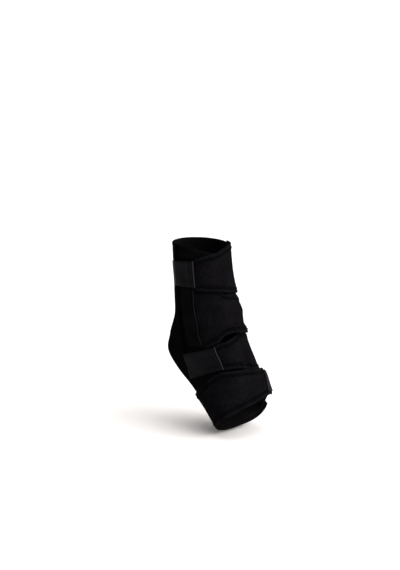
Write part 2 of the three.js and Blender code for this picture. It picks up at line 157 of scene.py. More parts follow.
def outwards(rung, angle):
    """The direction straight out of the sleeve, one long: the cross product of its directions round and
    down, which are small differences of the surface."""
    step = 0.01
    around = on_sleeve(rung, angle + step) - on_sleeve(rung, angle - step)
    down = on_sleeve(rung + step, angle) - on_sleeve(rung - step, angle)
    out = np.cross(around, down)
    return out / np.linalg.norm(out, axis=-1, keepdims=True)


def off_sleeve(rung, angle, height):
    """The point on the sleeve moved outwards by a height, with the dents that all layers share."""
    return on_sleeve(rung, angle) + outwards(rung, angle) * (height + dents(rung, angle))[..., None]


def dents(rung, angle):
    """Shallow hollows and swells of all layers: three waves that run slantwise round the leg, 0.3, 0.2
    and 0.15 mm high, and 0.25 mm off them all."""
    v = np.radians(angle)
    long_waves = 0.3 * np.sin(3 * v + 1.7 * rung) + 0.2 * np.sin(5 * v - 2.3 * rung + 1)
    return long_waves + 0.15 * np.sin(7 * v + 3.1 * rung + 2) - 0.25


print("sleeve, mm, top front:", on_sleeve(np.array(0.0), np.array(0.0)).round(1))

# %% [markdown]
# Each piece of the brace is cut to an outline and lies at some height above the sleeve. The outline is a
# top edge and a bottom edge, both smooth curves of rung against angle, and two ends. Drawing the outline
# as a spline and shrinkwrapping it would be the usual way by hand. Here a grid is spread between the
# edges, because the grid then also carries the distances that hems and stitches are set out with.

# %% Edges of the pieces: angles and rungs
BODY_TOP = curve([8, 14, 32, 52, 80, 122, 180, 250, 300, 360],
                 [0.9, 0.84, 0.74, 0.62, 0.49, 0.46, 0.42, 0.45, 0.5, 0.7])
BODY_TOE = curve([40, 70, 120, 180, 235, 300, 330], [11.46, 11.4, 11.16, 11.12, 10.97, 10.55, 10.5])
BODY_OUTER = curve([0.4, 2.5, 3.5, 4.5, 5.5, 6.2, 7.8, 9, 11.4], [69, 68.5, 68.5, 66, 63.5, 62, 58, 51, 46])
BODY_INNER = curve([0.4, 1.6, 2.4, 3, 3.6, 4.4, 4.9, 6, 8, 10, 11.3],
                   [346, 348, 353, 356, 353, 343, 335, 328, 326, 320, 316])
OVERLAY_ANGLE, OVERLAY_RUNG = 8, 2.36
POCKET_FRONT = {
    1: curve([1, 2.66, 3.4, 4.2, 4.9, 5.6], [62, 62.6, 65, 62.9, 60.3, 57]),
    -1: curve([1, 5.5], [71, 72]),
}
POCKET_BACK = curve([1, 2.6, 3.9, 4.6, 5.2, 5.5], [99, 101.5, 100, 93, 87, 85])
POCKET_TOP, POCKET_BOTTOM = 1.35, 5.8
UPPER_ENDS = (-69, 64.5)
UPPER_TOP = curve([-69, -44, -22, -2, 9, 17, 34, 50, 66],
                  [0.46, 0.48, 0.54, 0.66, 0.76, 0.82, 0.88, 1.02, 1.2])
UPPER_BOTTOM = curve([-69, -36, 18, 52, 66], [3, 2.9, 2.68, 2.58, 2.52])
ANKLE_ENDS = (-62, 72)
ANKLE_TOP = curve([-62, -43, -20, -6, 8, 13, 20, 30, 72],
                  [4, 3.56, 2.9, 2.83, 2.75, 2.6, 2.48, 2.44, 2.44])
ANKLE_BOTTOM = curve([-62, -38, -12, -6, 7, 22, 28, 35, 50, 60],
                     [5.26, 5.2, 5.1, 5.03, 4.96, 5.08, 5.24, 5.43, 5.68, 5.9])
STRAP_ENDS = (-69, 49)
STRAP_TOP = curve([-69, -58, -48, -38, -26, -12, -6, 6, 22, 35, 50],
                  [6.05, 5.94, 5.46, 5.02, 4.9, 4.98, 5.1, 5.22, 5.4, 5.47, 5.74])
STRAP_BOTTOM = curve([-69, -29, -8, 8, 19, 30, 48], [8.46, 8.32, 8.1, 7.84, 7.76, 7.74, 7.7])
INSTEP_TAB_SLANT, INSTEP_TAB_MIDDLE = 12.5, 7
BAND_ENDS = (-55, 262)
BAND_TOP = curve([-55, -36, -8, 6, 12, 32, 47, 80, 119, 180, 262],
                 [8.32, 8.26, 8.1, 7.96, 7.98, 7.89, 7.84, 8.36, 8.86, 9, 8.8])
BAND_TOE = curve([-55, -44, -24, -4, 16, 46, 66, 90, 118, 180, 235, 262],
                 [10.84, 10.88, 11.2, 11.5, 11.68, 11.72, 11.66, 11.42, 11.3, 11.26, 11.1, 10.95])


def tab_ends(flap_end, side, lap, length):
    """Where a tab starts and ends: it reaches back over the flap's end by its lap. side is 1 outside."""
    near = flap_end - side * lap * DEGREES_PER_MM
    return tuple(sorted((near, near + side * length * DEGREES_PER_MM)))


TAB_LAP, FOOT_TAB_LAP = 4, 11  # mm that a tab reaches back over its flap's end
TAB_EDGES = {  # the ends, top edge and bottom edge of each tab
    "upper_hook_tab": (tab_ends(UPPER_ENDS[1], 1, TAB_LAP, 36),
        curve([58.5, 122], [1.16, 1.3]), curve([58.5, 122], [2.42, 2.44])),
    "ankle_hook_tab": (tab_ends(ANKLE_ENDS[0], -1, TAB_LAP, 34),
        curve([-116, -56], [3.9, 4.06]), curve([-116, -56], [5.04, 4.96])),
    "instep_hook_tab": (tab_ends(STRAP_ENDS[1], 1, TAB_LAP, 35),
        curve([44, 98], [5.72, 6.2]), curve([44, 98], [7.64, 7.86])),
    "foot_hook_tab": (tab_ends(BAND_ENDS[0], -1, FOOT_TAB_LAP, 29),
        curve([-86, -36], [8.7, 8.54]), curve([-86, -36], [10.5, 10.62])),
}
print("tab ends, degrees:", [np.round(edges[0], 1).tolist() for edges in TAB_EDGES.values()])

# %% Heights of the layers above the sleeve
ON_BODY = BODY_WALL + LAYER_GAP
ON_POCKET = ON_BODY + POCKET_WALL + LAYER_GAP
OVER_STRAP = STRAP_WALL + LAYER_GAP
BARE_TO, WRAP_FROM = 9, -1  # degrees where the bare leg ends and the wrap starts
LONG_CLIMB = 33  # degrees that the ankle flap's climb starts earlier low down
OFF_POCKET = (104.5, 113.5)  # degrees between which a tab leaves a stay pocket


def ankle_height(rung, angle):
    """Under the ankle flap: bare leg in front, the wrap inside, and there the strap's top edge too. The
    climb on to the wrap is short under the upper flap and long below it, where nothing presses."""
    edge = STRAP_TOP(angle)
    near_strap = ramp(rung, edge - 0.6, edge - 0.14)
    climb_from = BARE_TO + LONG_CLIMB * ramp(rung, 2.8, 3.5)
    on_wrap = ramp(angle, climb_from, WRAP_FROM) * ON_BODY
    return on_wrap + ramp(angle, BARE_TO, WRAP_FROM) * OVER_STRAP * near_strap


def strap_height(rung, angle):
    """Under the instep strap: bare leg in front and outside, and the wrap on the inner side."""
    return ON_BODY * ramp(angle, -6, -20)


def band_height(rung, angle):
    """Under the foot band: the wrap, and on the inner side the instep strap's bottom edge."""
    edge = STRAP_BOTTOM(angle)
    return ON_BODY + OVER_STRAP * ramp(angle, 0, -14) * ramp(rung, edge + 2.2, edge + 0.16)


def tab_height(flap_height, flap_end, away):
    """Under a tab that closes over a stay pocket: its flap's end, then the pocket, then the wrap."""
    to_pocket = ramp(away, flap_end + 1, flap_end + 12)
    to_wrap = ramp(away, *OFF_POCKET)
    return flap_height + (ON_POCKET - flap_height) * to_pocket + (ON_BODY - ON_POCKET) * to_wrap


print("on a pocket is", round(ON_POCKET, 1), "mm above the sleeve")

# %% [markdown]
# Neoprene wraps are foam between two knit faces. At an edge the two faces are drawn together, so the
# edge is round and the wall full only half its thickness in. Solidify with a bevel gives such an edge on
# a plain outline. Here the outer and inner skins are both grids and meet in one row of points at the
# rim: each point's share of the full wall is a quarter circle of its distance to the outline.

# %% Closed walls with round edges
ROUND_STEPS = 5  # rows of points in the quarter circle of an edge
REACH = 40.0  # mm, the longest distance to the outline that counts
CHUNK = 6_000_000  # distances at a time, to save memory
RUBBED_MM = 0.6  # a ridge that stands up more than this is rubbed no lighter


def stations(length, step, round_edge, start=True):
    """Shares from 0 to 1 along a length: evenly a step apart, and near a round edge as close as equal
    turns of its quarter circle, which is the radius times 1 - cosine of the turn."""
    turns = np.linspace(0, np.pi / 2, ROUND_STEPS + 1)[:-1]
    rim = round_edge * (1 - np.cos(turns))
    first = rim if start else np.array([0.0])
    low, high = (round_edge if start else step), length - round_edge
    middle = np.linspace(low, high, max(2, int(round((high - low) / step)) + 1))
    return np.concatenate([first, middle, length - rim[::-1]]) / length


def outline_distance(points, filled):
    """For each grid point its distance in mm to the outline of the filled cells, never above REACH. The
    outline's points are those that touch both a filled and an empty cell or the grid's rim."""
    cells = np.pad(filled, 1)
    touching = cells[:-1, :-1] + 0 + cells[1:, :-1] + cells[:-1, 1:] + cells[1:, 1:]
    on_rim = (touching > 0) & (touching < 4)
    rim = points[on_rim]
    flat = points.reshape(-1, 3)
    nearest = np.full(len(flat), REACH)
    for part in np.array_split(rim, max(1, len(rim) * len(flat) // CHUNK)):
        gaps = np.sqrt(((flat[:, None] - part[None]) ** 2).sum(-1)).min(1)
        nearest = np.minimum(nearest, gaps)
    nearest = nearest.reshape(on_rim.shape)
    nearest[on_rim] = 0
    return nearest, on_rim


def add_object(name, data):
    """A new object in the scene, at the origin."""
    thing = bpy.data.objects.new(name, data)
    bpy.context.scene.collection.objects.link(thing)
    return thing


def smooth_mesh(name, points, faces):
    """A smooth-shaded mesh from points in mm and the faces between them."""
    mesh = bpy.data.meshes.new(name)
    mesh.from_pydata((points * MM).tolist(), [], faces.tolist())
    mesh.polygons.foreach_set("use_smooth", np.ones(len(faces), bool))
    return mesh


def make_mesh(name, points, faces, cloth, materials, material_index, raised=None):
    """A mesh object at the origin from points in mm, its faces, and the cloth coordinates: millimetres
    round, millimetres down and millimetres to the nearer of the top and bottom edges. raised is how far
    each point stands above the plain face, below 0 in a groove."""
    mesh = smooth_mesh(name, points, faces)
    store = mesh.attributes.new("cloth", "FLOAT_VECTOR", "POINT")
    store.data.foreach_set("vector", np.ascontiguousarray(cloth, np.float32).ravel())
    if raised is not None:
        height = mesh.attributes.new("raised", "FLOAT", "POINT")
        height.data.foreach_set("value", np.ascontiguousarray(raised, np.float32))
    for material in materials:
        mesh.materials.append(material)
    mesh.polygons.foreach_set("material_index", np.asarray(material_index, np.int32))
    mesh.update()
    return add_object(name, mesh)


def wall(name, rung, angle, inner, thickness, materials, relief, filled=None, from_last=False):
    """A closed wall over a grid of rungs and angles. Its middle surface lies at inner + half the
    thickness, and its two skins stand off that by half the thickness times the square root of
    1 - (1 - distance / radius) squared, so the rim is a half circle. relief adds to the outer skin.
    from_last measures the cloth's millimetres round from the last column instead of the first."""
    if filled is None:
        filled = np.ones((rung.shape[0] - 1, rung.shape[1] - 1), bool)
    half = thickness / 2
    middle = off_sleeve(rung, angle, inner + half)
    edge, on_rim = outline_distance(middle, filled)
    full = np.sqrt(1 - (1 - np.minimum(edge / half, 1)) ** 2)
    around = np.cumsum(np.linalg.norm(np.diff(middle, axis=1, prepend=middle[:, :1]), axis=-1), axis=1)
    down = np.cumsum(np.linalg.norm(np.diff(middle, axis=0, prepend=middle[:1]), axis=-1), axis=0)
    if from_last:
        around = around[:, -1:] - around
    raised = relief(around, down, edge, rung, angle) * ramp(edge, 0, half)
    outer = off_sleeve(rung, angle, inner + half + half * full + raised)
    under = off_sleeve(rung, angle, inner + half - half * full)
    count = rung.size
    index = np.arange(count).reshape(rung.shape)
    below = np.where(on_rim, index, index + count)

    def quads(ids, turned):
        corners = [ids[:-1, :-1], ids[:-1, 1:], ids[1:, 1:], ids[1:, :-1]]
        cells = np.stack(corners[::-1] if turned else corners, -1)
        return cells[filled]

    faces = np.concatenate([quads(index, False), quads(below, True)])
    side = np.repeat([0, 1], len(faces) // 2)
    to_hem = np.minimum(down, down[-1:] - down)
    cloth = np.stack([around, down, to_hem], -1).reshape(-1, 3)
    points = np.concatenate([outer.reshape(-1, 3), under.reshape(-1, 3)])
    # the knit lightens ridges by these heights as wear, and darkens grooves by them as painted shade
    heights = np.concatenate([np.minimum(raised.ravel(), RUBBED_MM), np.zeros(count)])
    used, faces = np.unique(faces, return_inverse=True)
    faces = faces.reshape(-1, 4)
    print(f"{name}: {2 * len(faces)} triangles")
    return make_mesh(name, points[used], faces, np.tile(cloth, (2, 1))[used], materials, side, heights[used])


# %% A strip between two edges
def strip_place(ends, top, bottom, down, along, shift=None):
    """Rung and angle of the point at the shares down and along. shift moves the angle."""
    straight = ends[0] + (ends[1] - ends[0]) * along
    guess = top(straight) + (bottom(straight) - top(straight)) * down
    angle = straight if shift is None else straight + shift(guess, along)
    return top(angle) + (bottom(angle) - top(angle)) * down, angle


def strip(name, ends, top, bottom, inner, thickness, materials, relief, shift=None, step=1.3,
          from_last=False):
    """A wall between two edge curves, with its grid set out in steps of millimetres."""
    centre = sum(ends) / 2
    spine = np.linspace(top(centre), bottom(centre), 40)
    tall = np.linalg.norm(np.diff(on_sleeve(spine, np.full(40, centre)), axis=0), axis=1).sum()
    wide = (ends[1] - ends[0]) / DEGREES_PER_MM
    down, along = np.meshgrid(stations(tall, step, thickness / 2), stations(wide, step, thickness / 2),
                              indexing="ij")
    rung, angle = strip_place(ends, top, bottom, down, along, shift)
    return wall(name, rung, angle, inner(rung, angle), thickness, materials, relief,
                from_last=from_last)


# %% [markdown]
# Every finish starts from what the real cloth is. Colours are given as hex values, as they would be read
# off a swatch, and Blender wants linear light, so one function converts them. Each material is a handful
# of nodes, which one helper adds. The patterns read the cloth coordinates that the grid stored, so ribs
# and weave follow the piece round the ankle.


# %% Colours and nodes
def linear(hexcode):
    """Linear RGBA of an sRGB hex colour: a channel c is ((c + 0.055) / 1.055) to the power 2.4."""
    srgb = np.array([int(hexcode[i:i + 2], 16) for i in (0, 2, 4)]) / 255
    light = np.where(srgb > 0.04045, ((srgb + 0.055) / 1.055) ** 2.4, srgb / 12.92)
    return (*light.tolist(), 1.0)


def add_node(tree, kind, links=None, **settings):
    """A shader node of a kind. links maps an input's name or number to an output or to a value."""
    node = tree.nodes.new(f"ShaderNode{kind}")
    for key, value in settings.items():
        setattr(node, key, value)
    for key, value in (links or {}).items():
        if isinstance(value, bpy.types.NodeSocket):
            tree.links.new(value, node.inputs[key])
        else:
            node.inputs[key].default_value = value
    return node


def maths(tree, operation, *values):
    """The output of one sum on values that are outputs or numbers."""
    return add_node(tree, "Math", dict(enumerate(values)), operation=operation).outputs[0]


def between(tree, value, low, high):
    """How far a value is on its way from low to high, held between 0 and 1."""
    return add_node(tree, "MapRange", {"Value": value, "From Min": low, "From Max": high}).outputs[0]


def waves(tree, split, pitches):
    """Two sine waves, one along the cloth's X and one along its Y, with the given pitches in mm."""
    return [maths(tree, "SINE", maths(tree, "MULTIPLY", split.outputs[axis], 2 * np.pi / pitch))
            for axis, pitch in zip("XY", pitches)]


def mixed(tree, share, colour, hexcode):
    """The colour where share is 0, turning into the hex colour where it is 1."""
    links = {"Factor": share, "A": colour, "B": linear(hexcode)}
    return add_node(tree, "Mix", links, data_type="RGBA").outputs["Result"]


def bumps(tree, shader, height, distance):
    """Bumps on the shader: where height is 1 they stand up by half of the distance in metres."""
    bump = add_node(tree, "Bump", {"Height": height, "Distance": distance, "Strength": 0.5})
    tree.links.new(bump.outputs["Normal"], shader.inputs["Normal"])


def finish(shader, **values):
    """Sets a shader's constants, each named as its socket with _ for a space."""
    for key, value in values.items():
        shader.inputs[key.replace("_", " ")].default_value = value


def start_material(name, roughness, sheen, specular):
    """A new material, its Principled shader with the constants set, and the cloth coordinates."""
    material = bpy.data.materials.new(name)
    material.use_nodes = True
    tree = material.node_tree
    shader = tree.nodes["Principled BSDF"]
    finish(shader, Roughness=roughness, IOR=1.5, Specular_IOR_Level=specular, Sheen_Weight=sheen,
           Sheen_Roughness=0.4)
    cloth = add_node(tree, "Attribute", attribute_name="cloth")
    return material, tree, shader, cloth.outputs["Vector"]


def colour_ramp(tree, fac, *hexcodes):
    """A colour ramp through hex colours at equal steps."""
    node = add_node(tree, "ValToRGB", {"Fac": fac})
    points = node.color_ramp.elements
    while len(points) < len(hexcodes):
        points.new(0.5)
    for point, position, hexcode in zip(points, np.linspace(0, 1, len(hexcodes)), hexcodes):
        point.position, point.color = position, linear(hexcode)
    return node.outputs["Color"]


# %% [markdown]
# The face of the wrap is circular-knit nylon jersey, dyed black and bonded to chloroprene foam. Its
# loops stand in fine ribs, so it is matt. The flaps are faced with brushed loops, which bloom a trace
# where they turn away from the eye. The foam under both is never quite even, which leaves faint clouds.
# Real ribs are 0.9 mm apart, finer than one picture point here, so they are drawn 1.3 to 2.4 mm apart.

# %% Knit faces
RIB_MM, COURSE_MM = 1.8, 2.2
GRAIN_MM = 1.6  # tufts of fibre, really about 0.5 mm across
CLOUD_MM = 17  # the foam's slow clouds
CLOUDS, LOOPS = 0.3, 0.03  # the shares of those clouds and of the loops in the tone
NOISE_LOW, NOISE_HIGH = 0.3, 0.7  # nearly all of a noise lies between these
WEAR_AND_GROOVE_SHADE = 0.4  # how much lighter a ridge's nap is rubbed for each mm that it stands up, and how much darker a groove is painted, as its shade, for each mm that it sinks
HEM_MM, ZIGZAG_MM = 6.0, 2.8  # a hem's stitch line from its edge, and its zigzag's width
HOLE_PITCH_MM = 4.4  # needle holes on one side, really 3.6 mm apart
KNIT_BUMP_M, TAPE_BUMP_M = 0.00012, 0.00005


def needle_hole_shade(tree, split):
    """Where a hem's zigzag went through, the painted shade of its needle pricks: 1 in two rows of spots
    beside the hem line and 0 elsewhere. The rows are where the distance to the line is near half a zigzag,
    and the spots where a slanting sine wave is high, turned by half a wave from one row to the other."""
    off = maths(tree, "ADD", split.outputs["Z"], -HEM_MM)
    size = maths(tree, "ABSOLUTE", off)
    from_row = maths(tree, "ABSOLUTE", maths(tree, "ADD", size, -ZIGZAG_MM / 2))
    row = between(tree, from_row, 1.3, 0.4)
    slant = maths(tree, "ADD", split.outputs["X"], split.outputs["Y"])
    turned = maths(tree, "MULTIPLY_ADD", off, HOLE_PITCH_MM / 2 / ZIGZAG_MM, slant)
    wave = maths(tree, "SINE", maths(tree, "MULTIPLY", turned, 2 * np.pi / HOLE_PITCH_MM))
    return maths(tree, "MULTIPLY", row, between(tree, wave, -0.1, 0.7))


def knit(name, dark, mid, light, fuzz, roughness=0.93, sheen=0.01, rib=RIB_MM, hole_shade=None):
    """Knitted cloth: ribs and courses are two sine waves multiplied, over clouds and fuzz times a finer
    noise. Ridges are rubbed lighter as wear, and grooves are painted darker as their shade. A colour given
    for the needle pricks is painted in as their shade."""
    material, tree, shader, cloth = start_material(name, roughness, sheen, specular=0.0)
    clouds = add_node(tree, "TexNoise", {"Vector": cloth, "Scale": 1 / CLOUD_MM, "Detail": 2.0})
    grain = {"Vector": cloth, "Scale": 1 / GRAIN_MM, "Detail": 3.0, "Roughness": 0.8}
    fibres = add_node(tree, "TexNoise", grain).outputs["Fac"]
    split = add_node(tree, "SeparateXYZ", {"Vector": cloth})
    bands = waves(tree, split, (rib, COURSE_MM))
    loops = maths(tree, "MULTIPLY", *bands)
    loop_height = maths(tree, "MULTIPLY_ADD", loops, 0.3, bands[0])
    faint = maths(tree, "MULTIPLY", clouds.outputs["Fac"], CLOUDS)
    tone = maths(tree, "MULTIPLY_ADD", loops, LOOPS, maths(tree, "MULTIPLY_ADD", fibres, fuzz, faint))
    shade = between(tree, tone, NOISE_LOW * (CLOUDS + fuzz), NOISE_HIGH * (CLOUDS + fuzz))
    raised = add_node(tree, "Attribute", attribute_name="raised").outputs["Fac"]
    # painted shade: a groove is darkened by its depth, and a ridge is lightened as rubbed wear
    wear_and_painted_light = maths(tree, "MULTIPLY_ADD", raised, WEAR_AND_GROOVE_SHADE, shade)
    colour = colour_ramp(tree, wear_and_painted_light, dark, mid, light)
    # painted shade in the hems' needle pricks
    if hole_shade:
        colour = mixed(tree, needle_hole_shade(tree, split), colour, hole_shade)
    tree.links.new(colour, shader.inputs["Base Color"])
    bumps(tree, shader, maths(tree, "MULTIPLY_ADD", fibres, 1.2, loop_height), KNIT_BUMP_M)
    return material


WRAP_KNIT = knit("knit_faced_neoprene", "040304", "090809", "110f10", fuzz=1.0, sheen=0.0)
# the last colour is a painted shade, nearly black, in the hems' needle pricks
FLAP_KNIT = knit("brushed_loop_neoprene", "040304", "0c0b0d", "1b1a1c", fuzz=1.2, sheen=0.001, rib=2.4,
                 hole_shade="010101")
LINING = knit("jersey_lining", "070607", "0d0c0d", "141315", fuzz=0.8, roughness=0.85, sheen=0.002)
POCKET_CLOTH = knit("warp_knit_pocket_cloth", "040304", "090809", "0f0e10", fuzz=0.8, sheen=0.0, rib=1.3)

# %% [markdown]
# Hook tape is a woven nylon ground with moulded or cut hooks on its under side. Its back is pressed flat
# and coated, so it looks greyer and smoother than the knit, with a fine square weave and a pale cut edge,
# where the coating wears thin and a highlight is painted in.
# Real threads are 0.4 mm apart and are drawn 1.5 mm apart. The sewing thread is bonded polyester, round
# and slightly glossy.

# %% Tape and thread
WEAVE_MM = 1.5
HIGHLIGHT_AND_WEAR_MM, HIGHLIGHT_AND_WEAR_END_MM = 0.6, 1.1  # where the tape's pale edge, a painted highlight over coating that wears thin, starts to fade, and where it ends


def tape(name, dark, mid, light, edge):
    """Woven tape: the product of two sine waves at right angles is its weave, and the colour lightens
    in the last millimetre before the near end, where the tape is folded and its coating wears thin, and
    where a highlight is painted in."""
    material, tree, shader, cloth = start_material(name, 0.55, 0.0, specular=0.03)
    split = add_node(tree, "SeparateXYZ", {"Vector": cloth})
    weave = maths(tree, "MULTIPLY", *waves(tree, split, (WEAVE_MM, WEAVE_MM)))
    smear = add_node(tree, "Mapping", {"Vector": cloth, "Scale": (0.02, 0.16, 0.1)})
    streaks = add_node(tree, "TexNoise", {"Vector": smear.outputs[0], "Scale": 1.0, "Detail": 3.0})
    tone = maths(tree, "MULTIPLY_ADD", weave, 0.05, streaks.outputs["Fac"])
    shade = between(tree, tone, NOISE_LOW, NOISE_HIGH)
    colour = colour_ramp(tree, shade, dark, mid, light)
    # painted highlight along the near end, over coating that wears thin there
    wear_and_painted_light = between(tree, split.outputs["X"], HIGHLIGHT_AND_WEAR_END_MM, HIGHLIGHT_AND_WEAR_MM)
    tree.links.new(mixed(tree, wear_and_painted_light, colour, edge), shader.inputs["Base Color"])
    bumps(tree, shader, weave, TAPE_BUMP_M)
    return material


def spun(name, hexcode, tip, specular=0.02):
    """Twisted thread: slanting bands along each stitch, a little lighter on the crowns."""
    material, tree, shader, cloth = start_material(name, 0.6, 0.0, specular)
    twist = add_node(tree, "TexWave", {"Vector": cloth, "Scale": 0.9, "Distortion": 1.5},
                     bands_direction="DIAGONAL")
    tree.links.new(colour_ramp(tree, twist.outputs["Fac"], hexcode, tip), shader.inputs["Base Color"])
    return material


# the last colour is the pale near edge: thinning coating with a painted highlight
TAPE = tape("woven_nylon_hook_tape", "0b0a0c", "0e0d10", "121114", "27262a")
HOOKS = knit("moulded_hook_face", "0e0d0f", "161517", "232224", fuzz=1.2, roughness=0.6, rib=1.5)
THREAD = spun("bonded_polyester_thread", "070607", "0e0d0f")
DARK_THREAD = spun("black_polyester_thread", "010101", "040304")
PALE_THREAD = spun("grey_polyester_thread", "2a292e", "46454c", specular=0.06)
print("materials:", len(bpy.data.materials))

# %% [markdown]
# Hems are turned under and caught with a zigzag stitch about 6 mm in, so each strap has a rounded welt
# along its edges and a pinched line behind it. A bump map would do that from far off. It is worked into
# the outer skin instead, as a welt and a groove set out by distance to the outline.

# %% Hems and puckers
GROOVE_MM = 1.5
PUCKER_UP, PUCKER_PITCH, PUCKER_REACH = 0.12, 7.0, 12  # height, pitch and reach into the cloth, mm


def hem(edge, depth=0.25, welt=0.12):
    """Height of a hem: a half sine welt from the outline to the stitch line, and there a groove whose
    section is a bell, exp of minus the squared distance to the line over the groove's width."""
    rolled = welt * np.sin(np.pi * np.clip(edge / HEM_MM, 0, 1))
    return rolled - depth * np.exp(-(((edge - HEM_MM) / GROOVE_MM) ** 2))


def puckers(around, down, edge):
    """Small gathers that the stitching leaves: two crossed sine ripples that die out into the cloth."""
    ripple = np.sin(2 * np.pi * around / PUCKER_PITCH)
    ripple = ripple * np.sin(2 * np.pi * down / (1.13 * PUCKER_PITCH) + 0.8)
    return PUCKER_UP * ripple * np.exp(-edge / PUCKER_REACH)


def quilted(around, down):
    """The foam's own unevenness: three slow waves in different directions, 0.08 mm high in all."""
    return (0.03 * np.sin(around / 5.1 + down / 9.7) + 0.03 * np.sin(down / 6.3 - around / 14.9 + 2)
            + 0.02 * np.sin(around / 3.7 + 1.3 * np.sin(down / 8.1)))


def hemmed(around, down, edge, rung, angle):
    """The relief of a hemmed strap: hem, puckers and the foam's unevenness together."""
    return hem(edge) + puckers(around, down, edge) + quilted(around, down)

# %% [markdown]
# The wrap itself is one sheet from the outer side round the back to the inner side, and only its top
# corner reaches on to the front, under the upper flap. So its outline is an L laid round the leg. The
# grid has both legs of the L, and a mask leaves out the empty quarter.

# %% The wrap
WRAP_STEP = 1.7
CORNER_TALL, CORNER_WIDE = 48, 35  # mm, the corner under the upper flap
WRAP_TALL, WRAP_WIDE = 250, 160  # mm, the rest of the wrap
CREASE_MM, STAY_GROOVE_MM, SWELL_MM = 0.35, 2.2, 3.2  # how deep and how high


def joined(first, second):
    """Stations of two lengths end to end: shares from 0 to 1 of the first, then 1 to 2 of the second."""
    edge = BODY_WALL / 2
    ahead = stations(second, WRAP_STEP, edge, start=False)
    return np.concatenate([stations(first, WRAP_STEP, edge), 1 + ahead[1:]])


def wrap_grid():
    """Rungs and angles of the wrap's grid, and which of its cells are cloth. A point's rung depends on
    its angle and its angle on its rung, so the two are worked out in turn, three times over."""
    down, along = np.meshgrid(joined(CORNER_TALL, WRAP_TALL), joined(CORNER_WIDE, WRAP_WIDE), indexing="ij")
    rung = 0.5 + 5.4 * down
    for _ in range(3):
        outer_edge = BODY_OUTER(rung)
        angle = np.where(along < 1, OVERLAY_ANGLE + (outer_edge - OVERLAY_ANGLE) * along,
                         outer_edge + (BODY_INNER(rung) - outer_edge) * (along - 1))
        rung = np.where(down < 1, BODY_TOP(angle) + (OVERLAY_RUNG - BODY_TOP(angle)) * down,
                        OVERLAY_RUNG + (BODY_TOE(angle) - OVERLAY_RUNG) * (down - 1))
    filled = (down[:-1, :-1] < 1) | (along[:-1, :-1] >= 1)
    return rung, angle, filled


def wrap_relief(around, down, edge, rung, angle):
    """The wrap's own relief: its hem, crease lines where the heel bends, the groove that a stay's edge
    presses in behind each pocket, and the swell between the two flaps that cross in front. Groove and
    swell are bells of the distance to the pocket's back line and to the swell's middle."""
    bend = np.exp(-(((rung - 5.2) / 1.6) ** 2)) * np.exp(-(((np.mod(angle, 360) - 140) / 38) ** 2))
    creases = -CREASE_MM * bend * np.abs(np.sin(1.9 * rung + angle / 31)) ** 0.5
    signed = np.mod(angle + 180, 360) - 180
    beside = (np.abs(signed) - POCKET_BACK(np.minimum(rung, 5.5)) - 4.5) / 4
    pressed = -STAY_GROOVE_MM * np.exp(-(beside**2)) * ramp(rung, 6.3, 5.6)
    swell = SWELL_MM * np.exp(-(((rung - 3.25) / 0.25) ** 2) - ((signed + 47) / 20) ** 2)
    return hem(edge, depth=0.35, welt=0.2) + quilted(around, down) + creases + pressed + swell


rung, angle, filled = wrap_grid()
wrap = wall("neoprene_wrap", rung, angle, np.zeros_like(rung), BODY_WALL, [WRAP_KNIT, LINING], wrap_relief,
            filled=filled)

# %% [markdown]
# The four flaps are strips of loop-faced neoprene. Each lies on what is under it: the leg in front, the
# wrap at the side, another flap where they cross. The climb from one to the next is a smooth ramp, so
# the strip bends over an edge as thick cloth does.


# %% The flaps
def flat_on(height):
    """A layer that lies at one height all over."""
    return lambda rung, angle: np.full_like(rung, height)


def sewn_end(rung, along):
    """The ankle flap's outer end follows the wrap's outer edge, to which it is sewn."""
    return along ** 3 * (BODY_OUTER(rung) - ANKLE_ENDS[1] - 0.6 * DEGREES_PER_MM)


FLAPS = {
    "upper_flap": (UPPER_ENDS, UPPER_TOP, UPPER_BOTTOM, flat_on(ON_BODY), FLAP_WALL),
    "ankle_flap": (ANKLE_ENDS, ANKLE_TOP, ANKLE_BOTTOM, ankle_height, FLAP_WALL),
    "instep_strap": (STRAP_ENDS, STRAP_TOP, STRAP_BOTTOM, strap_height, STRAP_WALL),
    "foot_band": (BAND_ENDS, BAND_TOP, BAND_TOE, band_height, BAND_WALL),
}
flaps = {
    node: strip(f"loop_{node}", *shape, [FLAP_KNIT, LINING], hemmed,
                shift=sewn_end if node == "ankle_flap" else None)
    for node, shape in FLAPS.items()
}

# %% [markdown]
# A flat stay sits in a sewn pocket on each side. The pocket's cloth is thin and drawn tight, so the stay
# shows as a flat ridge between two stitched margins.

# %% Stay pockets
STAY_MARGIN = 3.2
MARGIN_SUNK, RIDGE_UP = 0.85, 0.5
POCKET_TALL, POCKET_WIDE = 95, 18  # mm, roughly
SEAM_SUNK = 0.75  # mm from the pocket's face down to its seams' thread


def make_pocket(name, side):
    """A narrow wall from the pocket's front line to its back line. Over smooth ramps the relief sinks
    its margins by MARGIN_SUNK and lifts the stay's ridge between them by RIDGE_UP."""
    round_edge = POCKET_WALL / 2
    down, along = np.meshgrid(stations(POCKET_TALL, 1.2, round_edge), stations(POCKET_WIDE, 0.7, round_edge),
                              indexing="ij")
    rung = POCKET_TOP + (POCKET_BOTTOM - POCKET_TOP) * down
    share = along if side > 0 else 1 - along
    angle = side * (POCKET_FRONT[side](rung) + (POCKET_BACK(rung) - POCKET_FRONT[side](rung)) * share)

    def ridge(around, down, edge, rung, angle):
        margin = ramp(edge, STAY_MARGIN + 1.4, STAY_MARGIN - 0.6)
        return RIDGE_UP * ramp(edge, 3, 7) - MARGIN_SUNK * margin

    return wall(name, rung, angle, np.full_like(rung, ON_BODY), POCKET_WALL, [POCKET_CLOTH] * 2, ridge)


pockets = {"lateral_stay_channel": make_pocket("outer_stay_pocket", 1),
           "medial_stay_channel": make_pocket("inner_stay_pocket", -1)}

